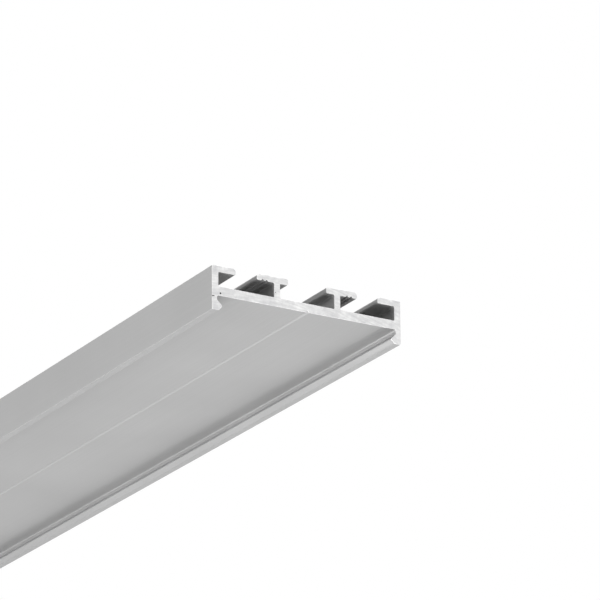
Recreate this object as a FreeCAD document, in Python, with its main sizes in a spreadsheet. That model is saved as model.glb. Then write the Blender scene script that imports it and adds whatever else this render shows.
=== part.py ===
import FreeCAD, Part
import math
import os
import re
import Sketcher

# Lighting profile: one aluminium extrusion, cut square at both ends.
# Both sides of its section are alike, so the right half is built and then mirrored.
# Frame: X across the width, Y along the bar, Z up. The origin is under the middle of the bar.
# The lips stand on z = 0 and the slots open upward.
# Sizes are in millimetres and angles in degrees.

DIMENSIONS = {
    # Bar
    "profile_length": 175.0,
    "profile_width": 30.0,
    # Levels of the section, from the lips up
    "channel_depth": 2.1,
    "web_thickness": 1.3,
    "slot_depth": 2.1,
    "flange_thickness": 0.9,
    # Side wall and the two flanges on their stems
    "wall_thickness": 1.0,
    "stem_offset": 4.8,
    "stem_thickness": 0.95,
    # Mouths of the three slots
    "side_mouth": 3.3,
    "middle_mouth": 6.1,
    # Lip that the diffuser cover snaps over, with a flank above its nose and a lead-in below
    "neck_step": 0.2,
    "lip_reach": 1.65,
    "lip_height": 0.62,
    "flank_angle": 45.0,
    "lead_in_angle": 45.0,
    "nose_radius": 0.2,
    "lead_in_radius": 0.15,
    "foot_radius": 0.1,
    # Rounded edges
    "crown_radius": 0.5,
    "short_crown_radius": 0.25,
    "tip_radius": 0.2,
    "edge_radius": 0.15,
    "slot_corner_radius": 0.15,
    "channel_corner_radius": 0.2,
    # Grip grooves under the long arm of each flange
    "grip_inset": 0.95,
    "grip_pitch": 0.65,
    "grip_width": 0.5,
    "grip_depth": 0.25,
    "grip_count": 2,
    # Centring line along the tape seat
    "centre_line_width": 0.5,
    "centre_line_depth": 0.25,
}

# Lengths closer than this count as the same, in millimetres
SAME = 1e-4

doc = FreeCAD.newDocument("lighting_profile")


def make_sheet():
    """Write every driving dimension into the sheet, one row each, with its name as the alias."""
    sheet = doc.addObject("Spreadsheet::Sheet", "Dimensions")
    for row, (name, size) in enumerate(DIMENSIONS.items(), start=1):
        sheet.set(f"A{row}", name.replace("_", " "))
        sheet.set(f"B{row}", str(size))
        sheet.setAlias(f"B{row}", name)
    doc.recompute()
    return sheet


sheet = make_sheet()


def named(formula):
    """Spell out a formula of dimension names so that it reads them from the sheet."""

    def from_sheet(match):
        word = match[0]
        return f"Dimensions.{word}" if word in DIMENSIONS else word

    return re.sub("[a-z_]+", from_sheet, formula)


def number(formula):
    """Work out a formula of dimension names."""
    return float(sheet.evalExpression(named(formula)))


# Levels
WEB_BOTTOM = "channel_depth"
WEB_TOP = f"{WEB_BOTTOM} + web_thickness"
FLANGE_BOTTOM = f"{WEB_TOP} + slot_depth"
FLANGE_TOP = f"{FLANGE_BOTTOM} + flange_thickness"

# Distances from the middle plane
OUTER_FACE = "profile_width / 2"
WALL_FACE = f"{OUTER_FACE} - wall_thickness"
NECK_FACE = f"{WALL_FACE} + neck_step"
STEM_OUTSIDE = "stem_offset + stem_thickness / 2"
STEM_INSIDE = "stem_offset - stem_thickness / 2"

# Each side mouth opens over the middle of its slot
SIDE_SLOT_MIDDLE = f"({STEM_OUTSIDE} + {WALL_FACE}) / 2"
HOOK_TIP = f"{SIDE_SLOT_MIDDLE} + side_mouth / 2"
LONG_ARM_TIP = f"{SIDE_SLOT_MIDDLE} - side_mouth / 2"
SHORT_ARM_TIP = "middle_mouth / 2"

# From the lip's nose the flank rises to the neck, and the lead-in slopes down to the foot
NOSE = f"{OUTER_FACE} - lip_reach"
FLANK_TOP = "lip_height + (lip_reach - wall_thickness + neck_step) * tan(flank_angle)"
FOOT_INSIDE = f"{NOSE} + lip_height / tan(lead_in_angle)"

# An arm's end is rounded above and below, and the two roundings never take more than its thickness
CROWN_SHARE = 0.6
TIP_SHARE = 0.35
CROWN_ROUND = f"min(crown_radius; {CROWN_SHARE} * flange_thickness)"
SHORT_CROWN_ROUND = f"min(short_crown_radius; {CROWN_SHARE} * flange_thickness)"
TIP_ROUND = f"min(tip_radius; {TIP_SHARE} * flange_thickness)"

# The rounding between web and neck ends above the flank
NECK_SHARE = 0.9
NECK_ROUND = f"min(channel_corner_radius; {NECK_SHARE} * ({WEB_BOTTOM} - ({FLANK_TOP})))"


def origin_feature(body, role):
    """Find one of the body's own origin planes or axes."""
    return next(part for part in body.Origin.OriginFeatures if part.Role == role)


def bind(sketch, kind, places, formula):
    """Add one distance and tie it to the sheet. A distance of nothing is a point on the axis."""
    size = number(formula)
    if abs(size) < SAME:
        axis = -2 if kind == "DistanceX" else -1
        sketch.addConstraint(Sketcher.Constraint("PointOnObject", places[-2], places[-1], axis))
        return
    index = sketch.addConstraint(Sketcher.Constraint(kind, *places, size))
    sketch.setExpression(f"Constraints[{index}]", named(formula))


def round_off(before, corner, after, radius):
    """Where the arc of a rounded corner leaves and meets its two sides, with its centre."""
    back = (before - corner).normalize()
    ahead = (after - corner).normalize()
    half_angle = back.getAngle(ahead) / 2
    reach = radius / math.tan(half_angle)
    middle = (back + ahead).normalize() * (radius / math.sin(half_angle))
    return corner + back * reach, corner + ahead * reach, corner + middle


def draw_outline(body, name, corners):
    """Draw one closed outline on the section plane.

    Each corner is (across, up) or (across, up, radius), written as formulas of the dimensions.
    A level or upright side is held by one distance. A corner on a sloping side is held by its own.
    """
    sketch = body.newObject("Sketcher::SketchObject", name)
    sketch.AttachmentSupport = (origin_feature(body, "XZ_Plane"), [""])
    sketch.MapMode = "FlatFace"

    count = len(corners)
    places = [FreeCAD.Vector(number(corner[0]), number(corner[1]), 0) for corner in corners]
    entries = list(places)
    exits = list(places)
    arcs = {}
    for index, corner in enumerate(corners):
        if len(corner) == 3:
            radius = number(corner[2])
            before = places[index - 1]
            after = places[(index + 1) % count]
            entries[index], exits[index], centre = round_off(before, places[index], after, radius)
            middle = centre + (places[index] - centre).normalize() * radius
            curve = Part.Arc(entries[index], middle, exits[index])
            arcs[index] = sketch.addGeometry(curve, False)

    sides = []
    for index in range(count):
        line = Part.LineSegment(exits[index], entries[(index + 1) % count])
        sides.append(sketch.addGeometry(line, False))

    join_corners(sketch, corners, sides, arcs)
    hold_sides(sketch, corners, sides)
    hold_sloping_corners(sketch, corners, places, sides, arcs)
    return sketch


def join_corners(sketch, corners, sides, arcs):
    """Join each side to the next, straight at a sharp corner and tangent to the arc at a round one."""
    for index, corner in enumerate(corners):
        before = sides[index - 1]
        after = sides[index]
        if index not in arcs:
            sketch.addConstraint(Sketcher.Constraint("Coincident", before, 2, after, 1))
            continue
        arc = arcs[index]
        first, last = arc_ends(sketch, arc, before)
        sketch.addConstraint(Sketcher.Constraint("Tangent", before, 2, arc, first))
        sketch.addConstraint(Sketcher.Constraint("Tangent", arc, last, after, 1))
        bind(sketch, "Radius", [arc], corner[2])


def arc_ends(sketch, arc, before):
    """Which end of the arc is met first, because a sketch keeps its arcs anticlockwise."""
    meeting = sketch.getPoint(before, 2)
    from_start = sketch.getPoint(arc, 1).distanceToPoint(meeting)
    from_end = sketch.getPoint(arc, 2).distanceToPoint(meeting)
    return (1, 2) if from_start < from_end else (2, 1)


def hold_sides(sketch, corners, sides):
    """Keep upright sides upright and level sides level, each at its own distance."""
    for index, side in enumerate(sides):
        here = corners[index]
        following = corners[(index + 1) % len(corners)]
        if here[0] == following[0]:
            sketch.addConstraint(Sketcher.Constraint("Vertical", side))
            bind(sketch, "DistanceX", [-1, 1, side, 1], here[0])
        elif here[1] == following[1]:
            sketch.addConstraint(Sketcher.Constraint("Horizontal", side))
            bind(sketch, "DistanceY", [-1, 1, side, 1], here[1])


def hold_sloping_corners(sketch, corners, places, sides, arcs):
    """Give a corner the distances that no upright or level side beside it already gives."""
    for index, corner in enumerate(corners):
        neighbours = (corners[index - 1], corners[(index + 1) % len(corners)])
        beside_upright = any(corner[0] == other[0] for other in neighbours)
        beside_level = any(corner[1] == other[1] for other in neighbours)
        if beside_upright and beside_level:
            continue
        point = sides[index]
        if index in arcs:
            point = sketch.addGeometry(Part.Point(places[index]), True)
            sketch.addConstraint(Sketcher.Constraint("PointOnObject", point, 1, sides[index - 1]))
            sketch.addConstraint(Sketcher.Constraint("PointOnObject", point, 1, sides[index]))
        if not beside_upright:
            bind(sketch, "DistanceX", [-1, 1, point, 1], corner[0])
        if not beside_level:
            bind(sketch, "DistanceY", [-1, 1, point, 1], corner[1])


def add_pad(body, sketch):
    """Extrude an outline over the whole length, half to each side of the section plane."""
    pad = body.newObject("PartDesign::Pad", f"{sketch.Name}_pad")
    pad.Profile = sketch
    pad.SideType = "Symmetric"
    pad.setExpression("Length", named("profile_length"))
    doc.recompute()
    return pad


def add_pocket(body, sketch):
    """Cut an outline away along the whole bar, and make sure that it took metal off."""
    volume_before = body.Shape.Volume
    pocket = body.newObject("PartDesign::Pocket", f"{sketch.Name}_pocket")
    pocket.Profile = sketch
    pocket.SideType = "Symmetric"
    pocket.setExpression("Length", named("profile_length"))
    doc.recompute()
    assert body.Shape.Volume < volume_before, f"{sketch.Name} removed nothing"
    return pocket


def add_fillet(body, base, name, places, radius):
    """Round the lengthwise edges that run through the given points of the section."""
    targets = [FreeCAD.Vector(number(across), 0, number(up)) for across, up in places]
    edges = [
        f"Edge{index}"
        for index, edge in enumerate(base.Shape.Edges, start=1)
        if min(edge.CenterOfMass.distanceToPoint(target) for target in targets) < SAME
    ]
    assert len(edges) == len(places), f"{name} found {len(edges)} edges of {len(places)}"
    fillet = body.newObject("PartDesign::Fillet", name)
    fillet.Base = (base, edges)
    fillet.setExpression("Radius", named(radius))
    doc.recompute()
    return fillet


def web(body):
    """Flat web: the tape seat on its underside and the floor of the slots on its upper side."""
    sketch = draw_outline(
        body,
        "web",
        [
            ("0", WEB_BOTTOM),
            (WALL_FACE, WEB_BOTTOM),
            (WALL_FACE, WEB_TOP),
            ("0", WEB_TOP),
        ],
    )
    return add_pad(body, sketch)


def side_wall(body):
    """Side wall with the hook over the side slot at its head and the snap lip at its foot."""
    sketch = draw_outline(
        body,
        "side_wall",
        [
            (OUTER_FACE, "0", "foot_radius"),
            (OUTER_FACE, FLANGE_TOP, "edge_radius"),
            (HOOK_TIP, FLANGE_TOP, CROWN_ROUND),
            (HOOK_TIP, FLANGE_BOTTOM, TIP_ROUND),
            (WALL_FACE, FLANGE_BOTTOM),
            (WALL_FACE, WEB_BOTTOM),
            (NECK_FACE, WEB_BOTTOM),
            (NECK_FACE, FLANK_TOP),
            (NOSE, "lip_height", "nose_radius"),
            (FOOT_INSIDE, "0", "lead_in_radius"),
        ],
    )
    return add_pad(body, sketch)


def flange(body):
    """Flange on its stem: a long arm towards the side wall and a short one towards the middle."""
    sketch = draw_outline(
        body,
        "flange",
        [
            (STEM_INSIDE, WEB_TOP),
            (STEM_OUTSIDE, WEB_TOP),
            (STEM_OUTSIDE, FLANGE_BOTTOM),
            (LONG_ARM_TIP, FLANGE_BOTTOM, TIP_ROUND),
            (LONG_ARM_TIP, FLANGE_TOP, CROWN_ROUND),
            (SHORT_ARM_TIP, FLANGE_TOP, SHORT_CROWN_ROUND),
            (SHORT_ARM_TIP, FLANGE_BOTTOM, TIP_ROUND),
            (STEM_INSIDE, FLANGE_BOTTOM),
        ],
    )
    return add_pad(body, sketch)


def inside_corners(body, base):
    """Small roundings where walls and stems meet the web and their flanges, as a die leaves them."""
    slot_corners = [
        (across, up)
        for across in (STEM_INSIDE, STEM_OUTSIDE, WALL_FACE)
        for up in (WEB_TOP, FLANGE_BOTTOM)
    ]
    slots = add_fillet(body, base, "slot_corners", slot_corners, "slot_corner_radius")
    return add_fillet(body, slots, "channel_corner", [(NECK_FACE, WEB_BOTTOM)], NECK_ROUND)


def grip_grooves(body):
    """V grooves under the long arm that keep a clip from sliding along the slot."""
    first = f"{LONG_ARM_TIP} - grip_inset"
    sketch = draw_outline(
        body,
        "grip_groove",
        [
            (f"{first} - grip_width / 2", FLANGE_BOTTOM),
            (f"{first} + grip_width / 2", FLANGE_BOTTOM),
            (first, f"{FLANGE_BOTTOM} + grip_depth"),
        ],
    )
    pocket = add_pocket(body, sketch)
    row = body.newObject("PartDesign::LinearPattern", "grip_grooves")
    row.Originals = [pocket]
    row.Direction = (origin_feature(body, "X_Axis"), [""])
    row.Reversed = True
    row.Mode = "Spacing"
    row.setExpression("Offset", named("grip_pitch"))
    row.setExpression("Occurrences", named("grip_count"))
    body.Tip = row
    doc.recompute()
    return row


def centre_line(body):
    """Half of the fine V line that marks the middle of the tape seat; mirroring completes it."""
    sketch = draw_outline(
        body,
        "centre_line",
        [
            ("0", WEB_BOTTOM),
            ("centre_line_width / 2", WEB_BOTTOM),
            ("0", f"{WEB_BOTTOM} + centre_line_depth"),
        ],
    )
    return add_pocket(body, sketch)


def mirror_half(body):
    """Complete the section by mirroring the whole right half about the middle plane."""
    mirrored = body.newObject("PartDesign::Mirrored", "both_halves")
    mirrored.TransformMode = "Whole shape"
    mirrored.MirrorPlane = (origin_feature(body, "YZ_Plane"), [""])
    body.Tip = mirrored
    doc.recompute()
    return mirrored


def make_profile():
    """Build the extrusion as one body."""
    body = doc.addObject("PartDesign::Body", "profile")
    body.Label = "profile"
    web(body)
    side_wall(body)
    joined = flange(body)
    inside_corners(body, joined)
    grip_grooves(body)
    centre_line(body)
    mirror_half(body)
    return body


def check_document(body):
    """Stop if any feature failed or the result isn't one sound solid."""
    for item in doc.Objects:
        faults = {"Invalid", "Error"} & set(item.State)
        assert not faults, f"{item.Name}: {item.State}"
    shape = body.Shape
    assert not shape.isNull() and shape.isValid(), "the profile isn't a valid shape"
    assert len(shape.Solids) == 1, f"{len(shape.Solids)} solids instead of one"


profile = make_profile()
doc.recompute()
check_document(profile)

os.makedirs("parts", exist_ok=True)
profile.Shape.exportStep(f"parts/{profile.Label}.step")

box = profile.Shape.BoundBox
print(f"profile {box.XLength:.3f} x {box.YLength:.3f} x {box.ZLength:.3f} mm")
print(f"section {profile.Shape.Volume / box.YLength:.2f} mm2")
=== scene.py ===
# %% [markdown]
# # A length of aluminium profile for LED tape
# The real object is one bar of extruded aluminium. Hot metal was pushed through a die, the bar was
# anodised to a matt silver, and then it was sawn to length. Everything that the eye reads comes
# from those three steps: long dead-straight edges, an even satin grey along the sides, and a
# bright, slightly ragged cut where the saw went through the skin into bare metal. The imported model
# fixes where the bar is and how large it is, so it is loaded first and never moved.

import math
import random

import bpy
from mathutils import Matrix, Vector, noise
from mathutils.geometry import delaunay_2d_cdt
from mathutils.kdtree import KDTree


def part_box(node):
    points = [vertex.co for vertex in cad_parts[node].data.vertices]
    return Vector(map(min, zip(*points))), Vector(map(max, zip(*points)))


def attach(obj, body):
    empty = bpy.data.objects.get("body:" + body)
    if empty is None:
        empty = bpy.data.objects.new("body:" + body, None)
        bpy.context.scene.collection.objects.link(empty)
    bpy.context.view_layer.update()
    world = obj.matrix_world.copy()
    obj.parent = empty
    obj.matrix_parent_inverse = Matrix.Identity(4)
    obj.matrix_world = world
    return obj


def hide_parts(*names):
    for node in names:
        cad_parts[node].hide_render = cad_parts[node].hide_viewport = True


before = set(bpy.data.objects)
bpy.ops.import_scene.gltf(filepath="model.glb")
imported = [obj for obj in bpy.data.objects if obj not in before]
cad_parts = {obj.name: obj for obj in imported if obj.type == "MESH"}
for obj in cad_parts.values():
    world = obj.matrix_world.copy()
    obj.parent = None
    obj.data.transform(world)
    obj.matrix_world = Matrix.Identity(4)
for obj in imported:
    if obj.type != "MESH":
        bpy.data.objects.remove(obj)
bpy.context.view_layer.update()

# %% [markdown]
# ## The sizes that set the section
# A die drawing gives the levels of the section, the thickness of each wall and the widths of the
# slots. The overall width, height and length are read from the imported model, so this bar always
# fits it. The other sizes are written in millimetres, as on such a drawing, and turned to metres
# when the mesh is made.

# %% Sizes of the bar and its section, in millimetres
MM = 0.001

lowest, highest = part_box("profile")
half_width = highest.x / MM
height = highest.z / MM
near_end = lowest.y / MM
far_end = highest.y / MM

channel_depth = 2.1
web_thickness = 1.3
flange_thickness = 0.9
wall_thickness = 1.0
neck_step = 0.2
stem_place = 4.8
stem_thickness = 0.95
side_mouth = 3.3
middle_mouth = 6.1

web_bottom = channel_depth
web_top = web_bottom + web_thickness
flange_bottom = height - flange_thickness

wall_face = half_width - wall_thickness
neck_face = wall_face + neck_step
stem_inside = stem_place - stem_thickness / 2
stem_outside = stem_place + stem_thickness / 2

slot_middle = (stem_outside + wall_face) / 2
hook_tip = slot_middle + side_mouth / 2
long_arm_tip = slot_middle - side_mouth / 2
short_arm_tip = middle_mouth / 2

print(f"bar {2 * half_width:.2f} x {far_end - near_end:.2f} x {height:.2f} mm")
print(f"arms from {short_arm_tip:.2f} to {long_arm_tip:.2f} mm out, hooks from {hook_tip:.2f} mm")

# %% [markdown]
# ## The lip, the grip grooves and the centre line
# A cover clips behind the lips. From its nose each lip slopes back down to the foot of the bar,
# which spreads the lips as the cover is pushed in, and back up to the neck, which holds the cover.
# Both slopes stand at 45 degrees, so their ends follow from the place of the nose. The two grooves
# under each long arm and the line along the middle of the web are plain V cuts.

# %% Places that follow from the lip and the V cuts
slope = math.tan(math.radians(45))
lip_reach = 1.65
nose = half_width - lip_reach
nose_height = 0.62
foot_inside = nose + nose_height / slope
flank_top = nose_height + (neck_face - nose) * slope

grip_from_tip = 0.95
grip_pitch = 0.65
cut_width = 0.5
cut_depth = 0.25
grip_places = (long_arm_tip - grip_from_tip - grip_pitch, long_arm_tip - grip_from_tip)
grip_top = flange_bottom + cut_depth
line_half = cut_width / 2
line_top = web_bottom + cut_depth

lip = (foot_inside, 0), (nose, nose_height), (neck_face, flank_top)
print("lip", [(round(across, 2), round(up, 2)) for across, up in lip])

# %% [markdown]
# ## The section as a list of corners
# The outline could be a curve object, but a list of corners is closer to the drawing: each entry
# says how far out the corner lies, how high, and how large its rounding is. Real dies have no
# perfectly sharp corner, so the smallest ones get a rounding of a few hundredths, which is what
# lets them catch light. Both sides of the section are alike, so only the right half is listed,
# from the middle of the web's upper side, round the flange, the hook and the lip, to the centre
# line below.

# %% Corners of the right half
inner = 0.15
tip = 0.2
crown = 0.5
short_crown = 0.25
fine = 0.04
heel = 0.1
toe = 0.15

grip_corners = []
for place in reversed(grip_places):
    grip_corners += [
        (place + cut_width / 2, flange_bottom, fine),
        (place, grip_top, fine),
        (place - cut_width / 2, flange_bottom, fine),
    ]

half_corners = [
    (0, web_top, 0),
    (stem_inside, web_top, inner),
    (stem_inside, flange_bottom, inner),
    (short_arm_tip, flange_bottom, tip),
    (short_arm_tip, height, short_crown),
    (long_arm_tip, height, crown),
    (long_arm_tip, flange_bottom, tip),
    *grip_corners,
    (stem_outside, flange_bottom, inner),
    (stem_outside, web_top, inner),
    (wall_face, web_top, inner),
    (wall_face, flange_bottom, inner),
    (hook_tip, flange_bottom, tip),
    (hook_tip, height, crown),
    (half_width, height, inner),
    (half_width, 0, heel),
    (foot_inside, 0, toe),
    (nose, nose_height, tip),
    (neck_face, flank_top, fine),
    (neck_face, web_bottom, tip),
    (line_half, web_bottom, fine),
    (0, line_top, 0),
]
print(len(half_corners), "corners in the right half")

# %% [markdown]
# ## Rounding the corners
# An arc of radius r touches both sides of its corner at a distance of r / tan(half the corner's
# angle) from it. Walking from the first touching point to the second in steps of a few degrees
# gives chords that shade as a smooth round. A straight side gets a point close to each of its
# ends, which holds it flat right up to the rounding, and points between them, which leave room for
# the small unevenness of the saw cut.

# %% Points along a rounding and along a side
ARC_STEP = math.radians(9)
HOLD = 0.03
RUN = 0.22


def arc_points(before, corner, after, radius):
    """Points along the rounding of one corner, from the side before it to the side after it."""
    back = (before - corner).normalized()
    ahead = (after - corner).normalized()
    half = back.angle(ahead) / 2
    start = corner + back * radius / math.tan(half)
    end = corner + ahead * radius / math.tan(half)
    middle = corner + (back + ahead).normalized() * radius / math.sin(half)
    sweep = (start - middle).angle_signed(end - middle)
    steps = max(2, math.ceil(abs(sweep) / ARC_STEP))
    arm = start - middle
    turns = [-sweep * step / steps for step in range(steps + 1)]
    return [middle + Matrix.Rotation(turn, 2) @ arm for turn in turns]


def side_points(start, end):
    """Points inside one straight side: one close to each end and an even row between them."""
    length = (end - start).length
    if length < 4 * HOLD:
        return []
    along = (end - start) / length
    steps = max(1, math.ceil((length - 2 * HOLD) / RUN))
    pitch = (length - 2 * HOLD) / steps
    return [start + along * (HOLD + pitch * step) for step in range(steps + 1)]


millimetre = side_points(Vector((0, 0)), Vector((1, 0)))
print(len(millimetre), "points along a side one millimetre long")


# %% The whole outline
def trace(corners):
    """Turn a list of (across, up, radius) corners into the points of an open line."""
    places = [Vector(corner[:2]) for corner in corners]
    points = [places[0]]
    for index in range(1, len(corners)):
        radius = corners[index][2]
        if radius:
            bend = arc_points(places[index - 1], places[index], places[index + 1], radius)
        else:
            bend = [places[index]]
        points += side_points(points[-1], bend[0])
        points += bend
    return points


right_half = trace(half_corners)
left_half = [Vector((-point.x, point.y)) for point in reversed(right_half[1:-1])]
outline = right_half + left_half
print(len(outline), "points round the section")

# %% [markdown]
# ## Which way is into the metal
# The saw leaves a tiny uneven bevel round the whole cut. To make it, each point of the last ring
# is pulled into the metal by a hundredth to a tenth of a millimetre. The outline runs clockwise,
# so the metal always lies to the right of the way it is going.

# %% Inward directions
def inward(points):
    """Unit vectors that point into the metal, one for each point of a clockwise outline."""
    result = []
    for index, here in enumerate(points):
        back = (here - points[index - 1]).normalized()
        ahead = (points[(index + 1) % len(points)] - here).normalized()
        along = (back + ahead).normalized()
        result.append(Vector((along.y, -along.x)))
    return result


into_metal = inward(outline)
print("first inward direction", tuple(round(value, 2) for value in into_metal[0]))

# %% [markdown]
# ## The edge of the saw cut
# A saw does not leave a clean edge. Where the teeth leave the metal they drag a small burr, and
# along the tops of the flanges the edge is visibly nibbled. Smooth noise along the outline gives
# the bevel an uneven depth, and the tops get more of it than the rest.

# %% Depth of the bevel round the cut
BEVEL = 0.035
LEAST_BEVEL = 0.012
NIBBLE = 0.03
TOP_NIBBLE = 0.09
NIBBLE_LENGTH = 0.45
LEAST_STEP = 0.3
EASE = 0.7
NEAR_NIBBLE_SEED = 3.7
FAR_NIBBLE_SEED = 8.2


def bevel_depth(point, seed):
    """How far the edge of the cut is pulled into the metal at one point of the outline."""
    ripple = noise.noise(Vector((point.x / NIBBLE_LENGTH, point.y / NIBBLE_LENGTH, seed)))
    on_flange_top = point.y > height - HOLD and abs(point.x) < long_arm_tip
    rough = TOP_NIBBLE if on_flange_top else NIBBLE
    return max(LEAST_BEVEL, BEVEL + rough * ripple)


def pulled_in(depths):
    """The outline with each point pulled into the metal by its own depth."""
    return [place + way * deep for place, way, deep in zip(outline, into_metal, depths)]


def bevel_edge(seed):
    """The ragged edge of one cut.

    Where a small rounding has no room for the depths, they are eased until no side of the edge is
    shorter than a set share of the outline's own.
    """
    depths = [bevel_depth(point, seed) for point in outline]
    tight = True
    while tight:
        edge = pulled_in(depths)
        tight = []
        for index in range(len(edge)):
            before = outline[index] - outline[index - 1]
            after = edge[index] - edge[index - 1]
            if before.dot(after) < LEAST_STEP * before.dot(before):
                tight.append(index)
        for index in tight:
            depths[index] *= EASE
            depths[index - 1] *= EASE
    print(f"bevel from {min(depths):.3f} to {max(depths):.3f} mm")
    return edge


near_edge = bevel_edge(NEAR_NIBBLE_SEED)
far_edge = bevel_edge(FAR_NIBBLE_SEED)

# %% [markdown]
# ## Marks on the sawn face
# The photograph shows three marks on the near cut: a pit at the foot of the left slot, a torn spot
# on the left stem and a short scratch that runs in from the outer face. They are real dents, so
# they are cut into the mesh, and their depth is also stored on the points, because the material
# paints them dark as painted shade and needs to know where.

# %% The pits and the scratch, in millimetres on the section
PITS = ((Vector((-13.67, 2.49)), 0.17), (Vector((-5.03, 4.16)), 0.09))
PIT_DEPTH = 0.14
SCRATCH = (Vector((-15.0, 1.96)), Vector((-14.66, 1.93)))
SCRATCH_HALF = 0.08
SCRATCH_DEPTH = 0.07


def pit_gap(point):
    """Distance from the nearest pit's middle, as a share of its radius."""
    return min((point - pit).length / radius for pit, radius in PITS)


def pit_share(point):
    """1 at the bottom of a pit, 0 at its rim and beyond."""
    reach = pit_gap(point)
    return (1 - reach * reach) ** 2 if reach < 1 else 0.0


def scratch_share(point):
    """1 along the middle of the scratch, 0 at its sides and beyond."""
    start, end = SCRATCH
    run = end - start
    along = min(1, max(0, (point - start).dot(run) / run.length_squared))
    reach = (point - start - run * along).length / SCRATCH_HALF
    return 1 - reach if reach < 1 else 0.0


print("depth of the pits", PIT_DEPTH, "mm")

# %% [markdown]
# ## Filling the cut
# The cut could be one large face, but then it could hold no dent. A triangulation that keeps the
# outline's edges and takes loose points inside it gives an even net that is fine enough for the
# slight waves of a saw cut, with closer points round the marks. Points that fall outside the metal
# are dropped with their triangles.

# %% Points round the pits and the scratch
PIT_SPOKES = 14
PIT_RINGS = (0.0001, 0.25, 0.5, 0.75, 1.0, 1.25)
SCRATCH_STEPS = 12
SCRATCH_ROWS = (-1.0, -0.5, 0.0, 0.5, 1.0)


def pit_points():
    """Rings of points that draw the pits."""
    turns = [math.tau * spoke / PIT_SPOKES for spoke in range(PIT_SPOKES)]
    ways = [Vector((math.cos(turn), math.sin(turn))) for turn in turns]
    return [
        pit + way * radius * share for pit, radius in PITS for share in PIT_RINGS for way in ways
    ]


def scratch_rim(place):
    """1 at the point of the cut's edge where the scratch starts, 0 elsewhere."""
    return 1.0 if (place - SCRATCH[0]).length < RUN / 2 else 0.0


def scratch_points():
    """Rows of points along the scratch and both of its sides."""
    start, end = SCRATCH
    run = end - start
    across = Vector((-run.y, run.x)).normalized() * SCRATCH_HALF
    return [
        start + run * step / SCRATCH_STEPS + across * share
        for step in range(SCRATCH_STEPS + 1)
        for share in SCRATCH_ROWS
    ]


print(len(pit_points()) + len(scratch_points()), "points for the marks")

# %% Loose points inside the cut
NET = 0.24
NET_JITTER = 0.3
NET_SEED = 11
NET_CLEARANCE = 0.05
CLEAR_OF_PIT = 1.3


def loose_points(ring, marked):
    """Points spread over the cut, clear of its edge, with closer ones round the marks."""
    draw = random.Random(NET_SEED)
    near = KDTree(len(ring))
    for index, point in enumerate(ring):
        near.insert((point.x, point.y, 0), index)
    near.balance()

    candidates = []
    for row in range(math.ceil(height / NET)):
        for column in range(math.ceil(2 * half_width / NET)):
            across = draw.uniform(-NET_JITTER, NET_JITTER)
            up = draw.uniform(-NET_JITTER, NET_JITTER)
            spot = Vector((column, row)) + Vector((across, up))
            candidates.append(spot * NET - Vector((half_width, 0)))
    if marked:
        candidates = [point for point in candidates if pit_gap(point) > CLEAR_OF_PIT]
        candidates += pit_points() + scratch_points()
    gaps = [near.find((point.x, point.y, 0))[2] for point in candidates]
    return [point for point, gap in zip(candidates, gaps) if gap > NET_CLEARANCE]


print(len(loose_points(near_edge, True)), "loose points inside the near cut")

# %% [markdown]
# ## Rings along the bar
# An extruded bar has the same section everywhere, so its outline is repeated as rings from one end
# to the other. A straight bar needs few of them: they stand up to 12 mm apart, and close to each
# end two more step in to the bevel.

# %% Rings along the bar
BEVEL_LENGTH = 0.05
BEND_PLACE = 0.4
BEND_SHARE = 0.35
SPAN = 12.0


def ring_stations():
    """Where the rings stand along the bar, with the share of the bevel that each one takes."""
    first = near_end + BEVEL_LENGTH
    last = far_end - BEVEL_LENGTH
    count = math.ceil((last - first) / SPAN)
    middle = [(first + (last - first) * step / count, 0.0) for step in range(count + 1)]
    near = (near_end, 1.0), (near_end + BEVEL_LENGTH * BEND_PLACE, BEND_SHARE)
    far = (far_end - BEVEL_LENGTH * BEND_PLACE, BEND_SHARE), (far_end, 1.0)
    return [*near, *middle, *far]


stations = ring_stations()
print(len(stations), "rings from", stations[0][0], "to", stations[-1][0])

# %% [markdown]
# ## The waves of the saw cut
# A blade wanders a little on its way through the metal and leaves low waves, here drawn with
# smooth noise. The cut stays a hair behind the end plane, so that nothing reaches past the length
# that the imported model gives, and the pits and the scratch lie deeper still.

# %% Level of the cut
SINK = 0.02
WAVE_LENGTH = 1.6
WAVE = 0.012
NEAR_WAVE_SEED = 1.5
FAR_WAVE_SEED = 6.5


def cut_level(point, seed, marked):
    """How far behind the end plane the cut lies at one point of the section."""
    wave = noise.noise(Vector((point.x / WAVE_LENGTH, point.y / WAVE_LENGTH, seed)))
    level = SINK + WAVE * wave
    if marked:
        level += PIT_DEPTH * pit_share(point) + SCRATCH_DEPTH * scratch_share(point)
    return level


in_web = Vector((0, (web_bottom + web_top) / 2))
print(f"cut in the middle of the web {cut_level(in_web, NEAR_WAVE_SEED, False):.3f} mm deep")

# %% [markdown]
# ## The bar as one closed mesh
# Four-sided strips join each ring to the next, and the net fills the last ring at both ends, so
# the bar is one closed skin like the real one. Each face is noted as skin or as sawn metal, and
# each point carries its share of painted shade, in the dents, and of painted highlight, in the
# centre groove.

# %% A place to collect the mesh
class BarMesh:
    """Collects the points, faces and marks of the bar."""

    def __init__(self):
        self.points = []
        self.faces = []
        self.sawn = []
        self.painted_shade = []
        self.painted_highlight = []

    def add_point(self, place, along, painted_shade=0.0):
        """Keep one point and its marks, never below the foot, and return its number."""
        self.points.append((place.x * MM, along * MM, max(0.0, place.y) * MM))
        # Share of painted shade: the pits and the scratch are painted dark.
        self.painted_shade.append(painted_shade)
        # Points in the centre groove get a painted highlight.
        in_line = abs(place.x) < line_half and place.y < line_top + HOLD
        self.painted_highlight.append(1.0 if in_line else 0.0)
        return len(self.points) - 1

    def add_face(self, corners, sawn):
        """Keep one face and whether the saw made it."""
        self.faces.append(corners)
        self.sawn.append(sawn)


bar = BarMesh()
print("collecting", ", ".join(vars(bar)))


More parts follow.
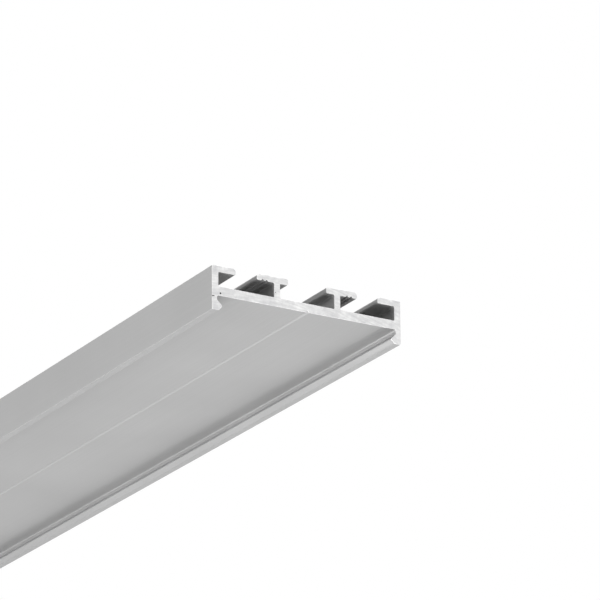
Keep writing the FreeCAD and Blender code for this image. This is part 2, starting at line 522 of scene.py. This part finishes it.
# %% Join the rings
def add_rings(bar):
    """Set the rings and join each to the next. The strips of the bevels count as sawn."""
    rings = []
    for along, share in stations:
        edge = near_edge if along < 0 else far_edge
        ring = [place.lerp(pulled, share) for place, pulled in zip(outline, edge)]
        at_cut = along == near_end
        # The point where the scratch meets the edge gets the full painted shade.
        rims = [scratch_rim(place) if at_cut else 0.0 for place in ring]
        rings.append([bar.add_point(place, along, rim) for place, rim in zip(ring, rims)])
    for index in range(len(rings) - 1):
        here = rings[index]
        following = rings[index + 1]
        sawn = stations[index][1] > 0 or stations[index + 1][1] > 0
        for corner in range(len(outline)):
            after = (corner + 1) % len(outline)
            bar.add_face((here[corner], here[after], following[after], following[corner]), sawn)
    return rings[0], rings[-1]


near_ring, far_ring = add_rings(bar)
print(len(bar.faces), "faces along the bar")

# %% Fill the two ends
INSIDE_ONLY = 1
WELD = 1e-6


def add_cut(bar, ring, edge, end, seed, marked):
    """Fill one end with triangles between the last ring and the loose points, marks pressed in."""
    loose = loose_points(edge, marked)
    count = len(edge)
    borders = [(index, (index + 1) % count) for index in range(count)]
    net = delaunay_2d_cdt(edge + loose, borders, [], INSIDE_ONLY, WELD)
    places, _, triangles, sources, _, _ = net

    side = 1 if end < 0 else -1
    numbers = {}
    for triangle in triangles:
        corners = []
        for corner in triangle:
            if corner not in numbers:
                source = sources[corner][0]
                place = places[corner]
                # Painted shade in the pits and the scratch, by their depth.
                painted_shade = max(pit_share(place), scratch_share(place)) if marked else 0.0
                level = end + side * cut_level(place, seed, marked)
                on_ring = source < count
                numbers[corner] = ring[source] if on_ring else bar.add_point(place, level, painted_shade)
            corners.append(numbers[corner])
        bar.add_face(corners[::side], True)


add_cut(bar, near_ring, near_edge, near_end, NEAR_WAVE_SEED, True)
add_cut(bar, far_ring, far_edge, far_end, FAR_WAVE_SEED, False)
print(len(bar.points), "points and", len(bar.faces), "faces")

# %% [markdown]
# ## Smooth rounds and crisp arrises
# Faces that meet at a small angle belong to one rounding and are shaded as one. Where they meet at
# more than that, as at the bevel of the cut, the edge stays crisp.

# %% Make the bar an object
SMOOTH_UNDER = math.radians(24)

mesh = bpy.data.meshes.new("extruded_bar")
mesh.from_pydata(bar.points, [], bar.faces)
mesh.validate()
mesh.polygons.foreach_set("use_smooth", [True] * len(mesh.polygons))
mesh.set_sharp_from_angle(angle=SMOOTH_UNDER)
# Two point attributes: painted shade in the dents, painted highlight in the centre groove.
for layer_name, shares in (("painted_shade", bar.painted_shade), ("painted_highlight", bar.painted_highlight)):
    layer = mesh.attributes.new(layer_name, "FLOAT", "POINT")
    layer.data.foreach_set("value", shares)

extruded_bar = bpy.data.objects.new("extruded_bar", mesh)
bpy.context.scene.collection.objects.link(extruded_bar)
print("triangles", sum(len(face.vertices) - 2 for face in mesh.polygons))

# %% [markdown]
# ## Helpers for materials
# Colours are picked as sRGB hex values, as in any paint program, but the renderer works in linear
# light, so one function turns them over. Another adds a node, sets its values and links its
# inputs, which keeps each material readable as a recipe, and a third starts a material with no
# nodes in it. Blender's noise is a number that seldom leaves the range from 0.3 to 0.7, so Map
# Range nodes spread that range over the one that is wanted, which is 0 to 1 unless other limits
# are given.

# %% Colour and node helpers
def linear(hex_colour):
    """Turn an sRGB hex colour into linear RGBA."""
    result = []
    for start in (1, 3, 5):
        value = int(hex_colour[start : start + 2], 16) / 255
        dark = value <= 0.04045
        result.append(value / 12.92 if dark else ((value + 0.055) / 1.055) ** 2.4)
    return (*result, 1.0)


def add_node(tree, kind, values=None, links=None, **settings):
    """Add one node with its settings, the values of its sockets and the links into them."""
    node = tree.nodes.new(kind)
    for name, value in settings.items():
        setattr(node, name, value)
    for name, value in (values or {}).items():
        node.inputs[name].default_value = value
    for name, source in (links or {}).items():
        tree.links.new(source, node.inputs[name])
    return node


def new_material(name):
    """An empty material with its node tree and output."""
    material = bpy.data.materials.new(name)
    material.use_nodes = True
    material.node_tree.nodes.clear()
    return material, material.node_tree


NOISE_RANGE = {"From Min": 0.3, "From Max": 0.7}
print("mid grey", [round(value, 3) for value in linear("#808080")[:3]])

# %% [markdown]
# ## Anodised aluminium
# The sides are etched to a matt silver and then anodised, which grows a thin clear oxide on the
# metal. To the eye that is a pale neutral grey with a wide, soft reflection and no mirror image.
# The clear oxide scatters part of the light before it reaches the metal, so the shader is only
# partly metallic. Four things break the even grey. Die lines are very shallow ridges along the
# bar, a few tenths of a millimetre apart, and come from noise stretched along it. The slight
# cloudiness of the etch is plain noise about two centimetres long. The groove along the middle of
# the web is painted lighter than the web as a painted highlight, and the points in it carry that
# as an attribute. The etch grain is about 0.02 mm and too fine to show, so it is drawn at 0.12 mm
# and kept faint.

# %% Sizes and colours of the anodised skin
DIE_LINE_PITCH = 0.35 * MM
DIE_LINE_STRETCH = 400
CLOUD_LENGTH = 18 * MM
GRAIN = 0.12 * MM
GRAIN_SHARE = 0.35
SILVER = ("#b2b2b2", "#b9b9b9")
SILVER_LINE = "#b1b1b1"
# Lighter grey painted on the centre groove as a painted highlight.
PAINTED_HIGHLIGHT_GREY = "#bcbcbc"
LINE_SHARE = 0.35
METAL_SHARE = 0.4
SATIN = (0.5, 0.55)
ETCH_BUMP = 0.06
ETCH_DEPTH = 0.01 * MM
print("die lines", DIE_LINE_PITCH / MM, "mm apart, clouds", CLOUD_LENGTH / MM, "mm long")


# %% Nodes of the anodised skin
def anodised_aluminium():
    """Matt silver skin with die lines, a cloudy etch and a painted highlight on the centre line."""
    material, tree = new_material("anodised_aluminium")
    place = add_node(tree, "ShaderNodeTexCoord").outputs["Object"]

    across = 1 / DIE_LINE_PITCH
    stretched = add_node(
        tree,
        "ShaderNodeMapping",
        {"Scale": (across, across / DIE_LINE_STRETCH, across)},
        {"Vector": place},
    ).outputs["Vector"]
    lines = add_node(
        tree,
        "ShaderNodeTexNoise",
        {"Scale": 1.0, "Detail": 3.0, "Roughness": 0.6},
        {"Vector": stretched},
    ).outputs["Fac"]
    cloud = add_node(
        tree, "ShaderNodeTexNoise", {"Scale": 1 / CLOUD_LENGTH, "Detail": 2.0}, {"Vector": place}
    ).outputs["Fac"]
    grain = add_node(
        tree, "ShaderNodeTexNoise", {"Scale": 1 / GRAIN, "Detail": 1.0}, {"Vector": place}
    ).outputs["Fac"]

    cloud_share = add_node(
        tree, "ShaderNodeMapRange", NOISE_RANGE, {"Value": cloud}
    ).outputs["Result"]
    cloudy = add_node(
        tree,
        "ShaderNodeMix",
        {"A": linear(SILVER[0]), "B": linear(SILVER[1])},
        {"Factor": cloud_share},
        data_type="RGBA",
    ).outputs["Result"]
    line_share = add_node(
        tree, "ShaderNodeMapRange", {**NOISE_RANGE, "To Max": LINE_SHARE}, {"Value": lines}
    ).outputs["Result"]
    lined = add_node(
        tree,
        "ShaderNodeMix",
        {"B": linear(SILVER_LINE)},
        {"Factor": line_share, "A": cloudy},
        data_type="RGBA",
    ).outputs["Result"]
    # Painted highlight: the centre groove is mixed to a lighter grey.
    painted_highlight = add_node(tree, "ShaderNodeAttribute", attribute_name="painted_highlight").outputs["Fac"]
    with_painted_highlight = add_node(
        tree,
        "ShaderNodeMix",
        {"B": linear(PAINTED_HIGHLIGHT_GREY)},
        {"Factor": painted_highlight, "A": lined},
        data_type="RGBA",
    ).outputs["Result"]

    satin = add_node(
        tree,
        "ShaderNodeMapRange",
        {**NOISE_RANGE, "To Min": SATIN[0], "To Max": SATIN[1]},
        {"Value": lines},
    ).outputs["Result"]
    relief = add_node(
        tree,
        "ShaderNodeMath",
        {1: GRAIN_SHARE},
        {0: grain, 2: lines},
        operation="MULTIPLY_ADD",
    ).outputs["Value"]
    bump = add_node(
        tree,
        "ShaderNodeBump",
        {"Strength": ETCH_BUMP, "Distance": ETCH_DEPTH},
        {"Height": relief},
    )
    surface = add_node(
        tree,
        "ShaderNodeBsdfPrincipled",
        {"Metallic": METAL_SHARE},
        {
            "Base Color": with_painted_highlight,
            "Roughness": satin,
            "Normal": bump.outputs["Normal"],
        },
    )
    add_node(tree, "ShaderNodeOutputMaterial", links={"Surface": surface.outputs["BSDF"]})
    return material


anodised = anodised_aluminium()
print("made", anodised.name)

# %% [markdown]
# ## Saw-cut aluminium
# The cut goes through the grey skin into bare metal, so it is the brightest thing on the bar. The
# teeth leave it matt and mottled, in patches about a millimetre across where metal was torn. They
# also leave fine arcs, drawn as noise along circles round the middle of the blade, which stood
# about 60 mm below the bar. Real tooth marks are some hundredths of a millimetre apart and too
# fine to show, so they are drawn 0.3 mm apart. In the pits and the scratch, the stored depth turns
# the metal dark grey, a painted shade.

# %% Sizes and colours of the cut
MOTTLE = 1.1 * MM
SAW_MARK_PITCH = 0.3 * MM
SAW_MARK_STRETCH = 8
BLADE_CENTRE = (-8 * MM, 0.0, -59 * MM)
TORN = ("#d8d8d9", "#fcfcfb")
SMEARED = "#c8c8c9"
SMEAR_SHARE = 0.5
# Dark grey painted into the pits and the scratch as painted shade.
PAINTED_SHADE_GREY = "#3c3b3a"
FULL_PAINTED_SHADE = 0.5
TORN_METAL = (0.42, 0.6)
SAW_BUMP = 0.5
SAW_DEPTH = 0.02 * MM
print("torn patches", round(MOTTLE / MM, 2), "mm, arcs", SAW_MARK_PITCH / MM, "mm apart")


# %% Nodes of the cut
def saw_cut_aluminium():
    """Bare metal with torn patches, the arcs of the blade and painted shade in the dents."""
    material, tree = new_material("saw_cut_aluminium")
    place = add_node(tree, "ShaderNodeTexCoord").outputs["Object"]
    mottle = add_node(
        tree,
        "ShaderNodeTexNoise",
        {"Scale": 1 / MOTTLE, "Detail": 4.0, "Roughness": 0.6},
        {"Vector": place},
    ).outputs["Fac"]
    from_centre = add_node(
        tree, "ShaderNodeVectorMath", {1: BLADE_CENTRE}, {0: place}, operation="SUBTRACT"
    ).outputs["Vector"]
    in_plane = add_node(
        tree,
        "ShaderNodeVectorMath",
        {1: (1.0, 0.0, 1.0)},
        {0: from_centre},
        operation="MULTIPLY",
    ).outputs["Vector"]
    reach = add_node(
        tree, "ShaderNodeVectorMath", links={0: in_plane}, operation="LENGTH"
    ).outputs["Value"]
    along = add_node(tree, "ShaderNodeSeparateXYZ", links={"Vector": place}).outputs["X"]
    arcs = add_node(tree, "ShaderNodeCombineXYZ", links={"X": along, "Y": reach}).outputs["Vector"]
    across = 1 / SAW_MARK_PITCH
    stretched = add_node(
        tree,
        "ShaderNodeMapping",
        {"Scale": (across / SAW_MARK_STRETCH, across, 1.0)},
        {"Vector": arcs},
    ).outputs["Vector"]
    marks = add_node(
        tree, "ShaderNodeTexNoise", {"Scale": 1.0, "Detail": 2.0}, {"Vector": stretched}
    ).outputs["Fac"]

    torn_share = add_node(
        tree, "ShaderNodeMapRange", NOISE_RANGE, {"Value": mottle}
    ).outputs["Result"]
    patchy = add_node(
        tree,
        "ShaderNodeMix",
        {"A": linear(TORN[0]), "B": linear(TORN[1])},
        {"Factor": torn_share},
        data_type="RGBA",
    ).outputs["Result"]
    smear_share = add_node(
        tree, "ShaderNodeMapRange", {**NOISE_RANGE, "To Max": SMEAR_SHARE}, {"Value": marks}
    ).outputs["Result"]
    marked = add_node(
        tree,
        "ShaderNodeMix",
        {"B": linear(SMEARED)},
        {"Factor": smear_share, "A": patchy},
        data_type="RGBA",
    ).outputs["Result"]
    # Painted shade: the stored share darkens the cut in the dents.
    painted_shade = add_node(tree, "ShaderNodeAttribute", attribute_name="painted_shade").outputs["Fac"]
    painted_shade_share = add_node(
        tree, "ShaderNodeMapRange", {"From Max": FULL_PAINTED_SHADE}, {"Value": painted_shade}
    ).outputs["Result"]
    with_painted_shade = add_node(
        tree,
        "ShaderNodeMix",
        {"B": linear(PAINTED_SHADE_GREY)},
        {"Factor": painted_shade_share, "A": marked},
        data_type="RGBA",
    ).outputs["Result"]

    torn_roughness = add_node(
        tree,
        "ShaderNodeMapRange",
        {**NOISE_RANGE, "To Min": TORN_METAL[0], "To Max": TORN_METAL[1]},
        {"Value": mottle},
    ).outputs["Result"]
    bump = add_node(
        tree,
        "ShaderNodeBump",
        {"Strength": SAW_BUMP, "Distance": SAW_DEPTH},
        {"Height": marks},
    )
    surface = add_node(
        tree,
        "ShaderNodeBsdfPrincipled",
        {"Metallic": 1.0},
        {
            "Base Color": with_painted_shade,
            "Roughness": torn_roughness,
            "Normal": bump.outputs["Normal"],
        },
    )
    add_node(tree, "ShaderNodeOutputMaterial", links={"Surface": surface.outputs["BSDF"]})
    return material


saw_cut = saw_cut_aluminium()
print("made", saw_cut.name)

# %% [markdown]
# ## Dressing the bar
# The first material covers the skin and the second the two cuts with their bevels. The piece then
# stands for the imported solid, which is hidden, and rides on the only body there is.

# %% Give the bar its materials and its place in the frame
mesh.materials.append(anodised)
mesh.materials.append(saw_cut)
mesh.polygons.foreach_set("material_index", [int(sawn) for sawn in bar.sawn])
mesh.update()

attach(extruded_bar, "root")
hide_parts("profile")
print("sawn faces", sum(bar.sawn))

# %% [markdown]
# ## A floor that a camera can look through from below
# The photograph looks up at the underside of the bar, so a plain floor would hide it. This floor
# is solid to a camera above it and keeps the bar's shadow there. From below, and for light and
# reflections, it is clear, so the underside is lit as it is in a white studio. Part of the floor's
# paleness is a glow of its own, because brighter lamps would make the bar too bright as well. The
# glow stands for the light of the room, so it fades where the bar hides the room from the floor,
# which gives a soft shadow at the bar's foot.

# %% The floor
FLOOR_SIZE = 6.0
FLOOR_GREY = "#969696"
FLOOR_GLOW = 0.5
SHADOW_REACH = 30 * MM
SHADOW_RAYS = 4


def studio_floor():
    """A pale floor for a camera above it, and clear for everything else."""
    material, tree = new_material("pale_floor")
    rays = add_node(tree, "ShaderNodeLightPath").outputs["Is Camera Ray"]
    back = add_node(tree, "ShaderNodeNewGeometry").outputs["Backfacing"]
    front = add_node(
        tree, "ShaderNodeMath", {0: 1.0}, {1: back}, operation="SUBTRACT"
    ).outputs["Value"]
    shown = add_node(
        tree, "ShaderNodeMath", links={0: rays, 1: front}, operation="MULTIPLY"
    ).outputs["Value"]
    clear = add_node(tree, "ShaderNodeBsdfTransparent").outputs["BSDF"]
    pale = add_node(tree, "ShaderNodeBsdfDiffuse", {"Color": linear(FLOOR_GREY)}).outputs["BSDF"]
    open_sky = add_node(
        tree,
        "ShaderNodeAmbientOcclusion",
        {"Color": linear("#ffffff"), "Distance": SHADOW_REACH},
        samples=SHADOW_RAYS,
    ).outputs["Color"]
    glow = add_node(
        tree, "ShaderNodeEmission", {"Strength": FLOOR_GLOW}, {"Color": open_sky}
    ).outputs["Emission"]
    lit = add_node(tree, "ShaderNodeAddShader", links={0: pale, 1: glow}).outputs["Shader"]
    mixed = add_node(tree, "ShaderNodeMixShader", links={0: shown, 1: clear, 2: lit})
    add_node(tree, "ShaderNodeOutputMaterial", links={"Surface": mixed.outputs["Shader"]})
    return material


half_floor = FLOOR_SIZE / 2
floor_corners = [(-half_floor, -half_floor, 0), (half_floor, -half_floor, 0)]
floor_corners += [(half_floor, half_floor, 0), (-half_floor, half_floor, 0)]
floor_mesh = bpy.data.meshes.new("floor")
floor_mesh.from_pydata(floor_corners, [], [(0, 1, 2, 3)])
floor_mesh.materials.append(studio_floor())
floor = bpy.data.objects.new("floor", floor_mesh)
bpy.context.scene.collection.objects.link(floor)
print("floor", FLOOR_SIZE, "m square")

# %% [markdown]
# ## A white room
# Metal shows what is round it. The bar was photographed in a white tent, so the camera and every
# reflection see plain white. Every other ray finds a dim room, so that the lamps decide which
# sides are light and which are dark.

# %% The world
ROOM_LIGHT = 0.07
WHITE_TENT = 1.0


def white_room():
    """Plain white to the camera and to reflections, and a dim fill to every other ray."""
    world = bpy.data.worlds.new("white_room")
    world.use_nodes = True
    tree = world.node_tree
    tree.nodes.clear()
    rays = add_node(tree, "ShaderNodeLightPath")
    seen = add_node(
        tree,
        "ShaderNodeMath",
        links={0: rays.outputs["Is Camera Ray"], 1: rays.outputs["Is Glossy Ray"]},
        operation="MAXIMUM",
    ).outputs["Value"]
    seen = add_node(
        tree,
        "ShaderNodeMath",
        links={0: seen, 1: rays.outputs["Is Transmission Ray"]},
        operation="MAXIMUM",
    ).outputs["Value"]
    paper = linear("#ffffff")
    room = add_node(tree, "ShaderNodeBackground", {"Color": paper, "Strength": ROOM_LIGHT})
    white = add_node(tree, "ShaderNodeBackground", {"Color": paper, "Strength": WHITE_TENT})
    mixed = add_node(
        tree,
        "ShaderNodeMixShader",
        links={0: seen, 1: room.outputs["Background"], 2: white.outputs["Background"]},
    )
    add_node(tree, "ShaderNodeOutputWorld", links={"Surface": mixed.outputs["Shader"]})
    return world


bpy.context.scene.world = white_room()
bpy.context.scene.view_settings.view_transform = "Standard"
print("world", bpy.context.scene.world.name)

# %% [markdown]
# ## Four soft boxes
# A large box overhead, behind the bar, lights its upper side and throws the soft shadow on the
# floor. In the photograph only the flanges' ends catch it. Three low boxes light what the
# photograph shows: one under the bar for the web, one on the left for the outer wall, and one on
# the right, which slides into the slots and makes the inside of the lip bright. The low boxes stay
# under the floor, so they don't touch it. Their strengths were found by rendering each lamp alone
# and solving for the mix that gives the greys of the photograph.

# %% The lamps
OVERHEAD = (40, 65, 1.7)
OVERHEAD_SIZE = 1.6
OVERHEAD_BRIGHTNESS = 2.4
UNDER = (-98, -65, 0.32)
UNDER_BRIGHTNESS = 1.58
LEFT = (-78, -26, 0.32)
LEFT_BRIGHTNESS = 2.65
RIGHT = (80, -26, 0.32)
RIGHT_BRIGHTNESS = 1.98
LOW_SIZE = 0.3
cut_end = Vector((0, near_end, 0)) * MM


def soft_box(name, direction, size, brightness):
    """A square lamp that faces the cut end. Its brightness is what a mirror would show of it.

    The direction is the lamp's angle round from the bar's own line, its angle up, and its
    distance in metres.
    """
    azimuth, elevation = (math.radians(angle) for angle in direction[:2])
    level = math.cos(elevation)
    way = Vector((math.sin(azimuth) * level, math.cos(azimuth) * level, math.sin(elevation)))
    lamp = bpy.data.lights.new(name, "AREA")
    lamp.size = size
    lamp.energy = brightness * math.pi * size * size
    box = bpy.data.objects.new(name, lamp)
    box.location = cut_end + way * direction[2]
    box.rotation_euler = (-way).to_track_quat("-Z", "Y").to_euler()
    box.visible_camera = False
    bpy.context.scene.collection.objects.link(box)
    return box


soft_box("overhead_box", OVERHEAD, OVERHEAD_SIZE, OVERHEAD_BRIGHTNESS)
soft_box("under_box", UNDER, LOW_SIZE, UNDER_BRIGHTNESS)
soft_box("left_box", LEFT, LOW_SIZE, LEFT_BRIGHTNESS)
soft_box("right_box", RIGHT, LOW_SIZE, RIGHT_BRIGHTNESS)
print("lamps", [light.name for light in bpy.data.lights])

# %% [markdown]
# ## The camera
# Parallel edges of the bar meet at a vanishing point in the photograph, which gives the direction
# it was taken from: about 31 degrees to the left of the bar's own line and 20 degrees below it.
# The section's size in the picture then gives the distance and the lens. The camera aims at the
# cut, just left of its middle.

# %% The camera
AZIMUTH = math.radians(-30.611)
ELEVATION = math.radians(-20.234)
ROLL = math.radians(-0.547)
DISTANCE = 578.85 * MM
AIM = Vector((-1.19 * MM, near_end * MM, 3.72 * MM))
SENSOR = 36.0
PICTURE = 600
FOCAL_PIXELS = 4224.2

view_direction = Vector(
    (
        -math.sin(AZIMUTH) * math.cos(ELEVATION),
        math.cos(AZIMUTH) * math.cos(ELEVATION),
        -math.sin(ELEVATION),
    )
)
camera_data = bpy.data.cameras.new("camera")
camera_data.sensor_width = SENSOR
camera_data.lens = SENSOR * FOCAL_PIXELS / PICTURE
camera = bpy.data.objects.new("camera", camera_data)
camera.location = AIM - view_direction * DISTANCE
level = view_direction.to_track_quat("-Z", "Y")
camera.rotation_euler = (level.to_matrix() @ Matrix.Rotation(ROLL, 3, "Z")).to_euler()
bpy.context.scene.collection.objects.link(camera)
bpy.context.scene.camera = camera
print("camera at", tuple(round(value, 4) for value in camera.location))
print("lens", round(camera_data.lens, 1), "mm")

# %% [markdown]
# ## The end
# The bar must not reach outside the imported model.
